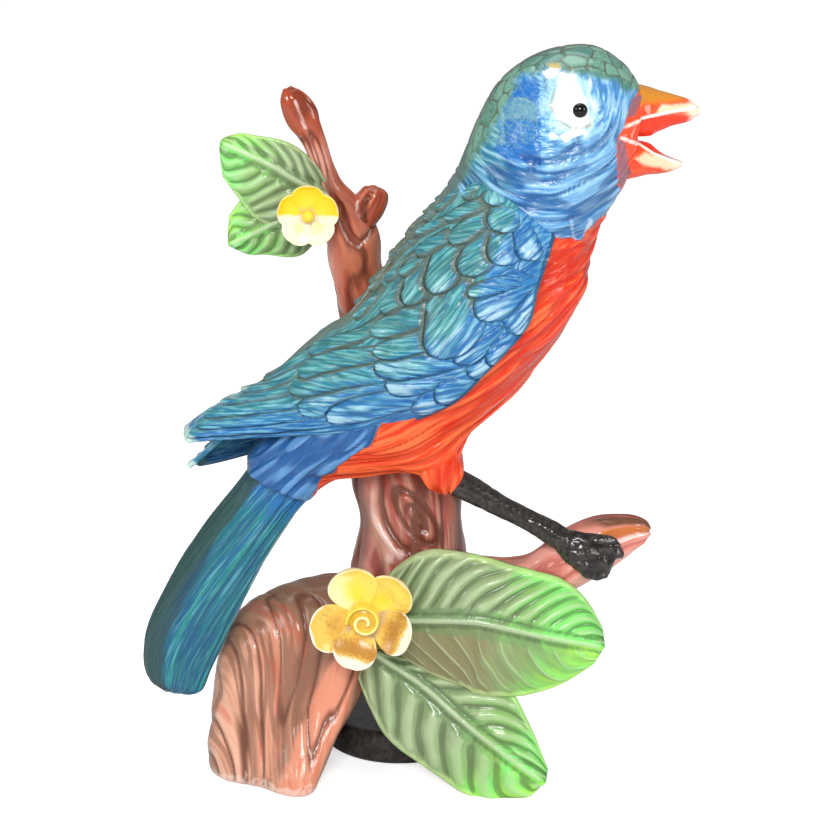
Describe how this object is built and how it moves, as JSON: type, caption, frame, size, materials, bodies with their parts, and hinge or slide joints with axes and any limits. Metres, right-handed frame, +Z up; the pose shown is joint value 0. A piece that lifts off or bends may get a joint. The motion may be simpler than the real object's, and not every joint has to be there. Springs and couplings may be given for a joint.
{
  "type": "ceramic bird figurine",
  "caption": "Glazed ceramic songbird with an open bill, standing on a side branch of a flowering tree stump with a round foot disc.",
  "frame": {"origin": "middle of the foot disc's resting face, on the floor plane", "axes": "+Z up; +X the way the bill points; -Y towards the viewer of the pictured side; right-handed"},
  "size_m": [0.1386, 0.0757, 0.1899],
  "materials": {
    "black_glaze": "glossy black-brown glaze with fine speckles",
    "bark_glaze": "glossy pink-brown glaze, hand brushed",
    "dark_bark_glaze": "glossy red-brown glaze, hand brushed",
    "blue_and_orange_glaze": "glossy blue glaze with an orange-red breast, hand brushed",
    "teal_glaze": "glossy teal glaze over brown grooves",
    "tail_glaze": "glossy teal glaze with pale streaks",
    "bill_glaze": "glossy orange-red glaze with pale tips",
    "eye_glaze": "glossy black enamel",
    "leaf_glaze": "glossy grey-green glaze",
    "bright_leaf_glaze": "glossy bright green glaze",
    "yellow_glaze": "glossy yellow glaze",
    "ochre_glaze": "glossy ochre glaze with pale rims",
    "cream_glaze": "glossy cream glaze"
  },
  "bodies": {
    "root": {"foot_disc": "black_glaze", "tree_trunk": "bark_glaze", "upper_branch": "dark_bark_glaze", "branch_stub": "dark_bark_glaze", "perch_branch": "bark_glaze", "bird_body": "blue_and_orange_glaze", "near_wing": "teal_glaze", "far_wing": "teal_glaze", "tail": "tail_glaze", "upper_bill": "bill_glaze", "lower_bill": "bill_glaze", "near_eye": "eye_glaze", "far_eye": "eye_glaze", "near_leg": "black_glaze", "far_leg": "black_glaze", "lower_leaf_large": "leaf_glaze", "lower_leaf_small": "leaf_glaze", "upper_leaf_left": "bright_leaf_glaze", "upper_leaf_low": "bright_leaf_glaze", "lower_calyx": "leaf_glaze", "lower_bud": "yellow_glaze", "lower_petal_top_left": "yellow_glaze", "lower_petal_top_right": "ochre_glaze", "lower_petal_right": "ochre_glaze", "lower_petal_bottom": "ochre_glaze", "lower_petal_left": "ochre_glaze", "upper_calyx": "leaf_glaze", "upper_bead": "yellow_glaze", "upper_petal_1": "yellow_glaze", "upper_petal_2": "cream_glaze", "upper_petal_3": "cream_glaze", "upper_petal_4": "cream_glaze", "upper_petal_5": "cream_glaze"}
  },
  "joints": []
}
